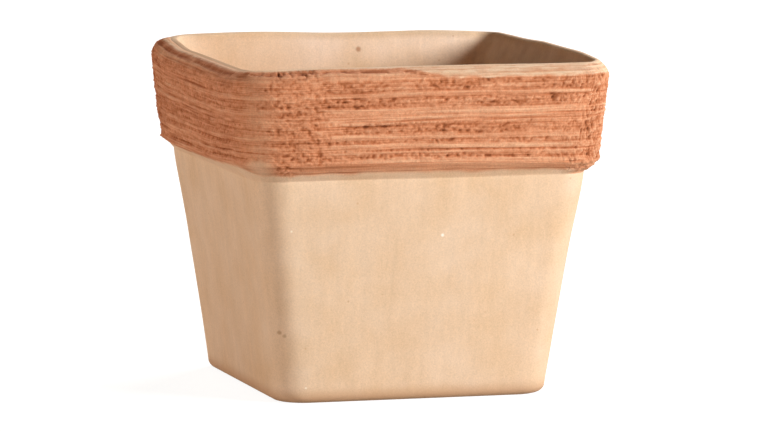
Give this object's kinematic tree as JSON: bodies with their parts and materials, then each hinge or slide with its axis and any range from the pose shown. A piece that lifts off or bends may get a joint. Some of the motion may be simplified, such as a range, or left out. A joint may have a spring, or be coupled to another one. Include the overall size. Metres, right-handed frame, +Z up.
{
  "type": "square plant pot",
  "caption": "Square tapered terracotta plant pot with rounded corners, a heavy projecting collar combed in rough clay, a smooth lip and a drain hole in its floor.",
  "frame": {"origin": "on the ground, at the middle of the foot", "axes": "+Z up along the pot's axis, -Y out of the front side, +X out of the right side"},
  "size_m": [0.3, 0.3, 0.26],
  "materials": {
    "slip_coated_clay": "matt, pale slip over fired clay",
    "combed_red_clay": "matt, torn and pitted bare fired clay"
  },
  "bodies": {
    "root": {"floor_slab": "slip_coated_clay", "floor_seam_coil": "slip_coated_clay", "front_wall": "slip_coated_clay", "right_wall": "slip_coated_clay", "back_wall": "slip_coated_clay", "left_wall": "slip_coated_clay", "front_collar_strip": "combed_red_clay", "right_collar_strip": "combed_red_clay", "back_collar_strip": "combed_red_clay", "left_collar_strip": "combed_red_clay", "front_right_seam_coil": "slip_coated_clay", "back_right_seam_coil": "slip_coated_clay", "back_left_seam_coil": "slip_coated_clay", "front_left_seam_coil": "slip_coated_clay"}
  },
  "joints": []
}
